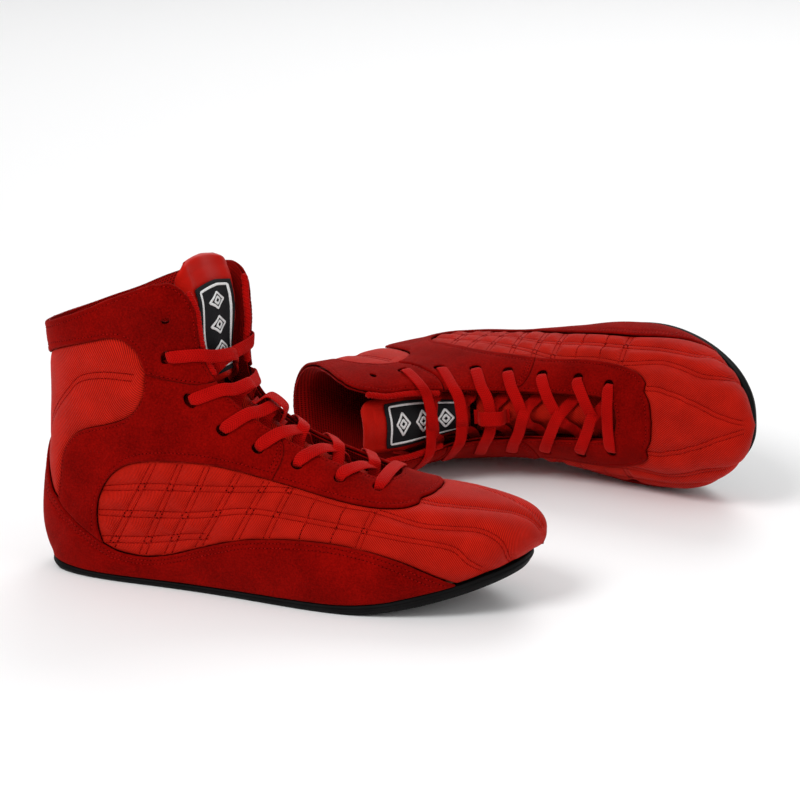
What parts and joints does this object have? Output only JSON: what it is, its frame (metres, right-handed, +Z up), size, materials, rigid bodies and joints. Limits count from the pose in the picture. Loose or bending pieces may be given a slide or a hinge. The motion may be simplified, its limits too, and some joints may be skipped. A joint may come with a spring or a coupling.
{
  "type": "boxing boots",
  "caption": "Pair of laced mid-height boxing boots: suede and quilted twill uppers on thin rubber soles, one boot standing and one lying on its inner side.",
  "frame": {"origin": "on the ground, under the middle of the pair's bounding box", "axes": "+Z up from the ground, +X across the pair towards the lying boot's toe, -Y towards the standing boot's front; the standing boot's toe points 16.8 degrees from +X towards -Y"},
  "size_m": [0.426, 0.4214, 0.1905],
  "materials": {
    "suede": "napped suede",
    "twill": "quilted satin twill",
    "lining_mesh": "knitted lining and woven piping",
    "lace_weave": "flat woven webbing",
    "sole_rubber": "moulded rubber",
    "foam": "padding foam",
    "fibre_board": "pressed fibre board",
    "label_cloth": "woven label",
    "aglet_plastic": "shrunk plastic tip"
  },
  "bodies": {
    "right_boot": {"right_outsole": "sole_rubber", "right_insole_board": "fibre_board", "right_footbed": "foam", "right_toe_puff": "foam", "right_heel_stiffener": "fibre_board", "right_collar_foam": "foam", "right_vamp_lining": "lining_mesh", "right_quarter_lining": "lining_mesh", "right_vamp": "twill", "right_ankle_panel": "twill", "right_quarter_outer": "suede", "right_quarter_inner": "suede", "right_collar_outer": "suede", "right_collar_inner": "suede", "right_eyestay": "suede", "right_rand": "suede", "right_tongue_lower": "twill", "right_lace_loop": "lace_weave", "right_lace": "lace_weave", "right_aglet_outer": "aglet_plastic", "right_aglet_inner": "aglet_plastic", "right_piping_outer": "lining_mesh", "right_piping_inner": "lining_mesh"},
    "right_tongue_top": {"right_tongue_upper": "twill", "right_tongue_label": "label_cloth"},
    "left_boot": {"left_outsole": "sole_rubber", "left_insole_board": "fibre_board", "left_footbed": "foam", "left_toe_puff": "foam", "left_heel_stiffener": "fibre_board", "left_collar_foam": "foam", "left_vamp_lining": "lining_mesh", "left_quarter_lining": "lining_mesh", "left_vamp": "twill", "left_ankle_panel": "twill", "left_quarter_outer": "suede", "left_quarter_inner": "suede", "left_collar_outer": "suede", "left_collar_inner": "suede", "left_eyestay": "suede", "left_rand": "suede", "left_tongue_lower": "twill", "left_lace_loop": "lace_weave", "left_lace": "lace_weave", "left_aglet_outer": "aglet_plastic", "left_aglet_inner": "aglet_plastic", "left_piping_outer": "lining_mesh", "left_piping_inner": "lining_mesh"},
    "left_tongue_top": {"left_tongue_upper": "twill", "left_tongue_label": "label_cloth"}
  },
  "joints": [
    {"name": "left_boot_slides", "type": "slide", "parent": "right_boot", "child": "left_boot", "axis": [0.6, 0.8, 0], "range_m": [0, 0.12]},
    {"name": "right_tongue_tips", "type": "hinge", "parent": "right_boot", "child": "right_tongue_top", "pos_m": [-0.10364, -0.13418, 0.11624], "axis": [-0.4649, -0.8854, 0], "range_deg": [0, 18], "stiffness_Nm_per_rad": 0.4},
    {"name": "left_tongue_tips", "type": "hinge", "parent": "left_boot", "child": "left_tongue_top", "pos_m": [0.04172, 0.05399, 0.04407], "axis": [0.0426, -0.0588, -0.9974], "range_deg": [0, 18], "stiffness_Nm_per_rad": 0.4}
  ]
}
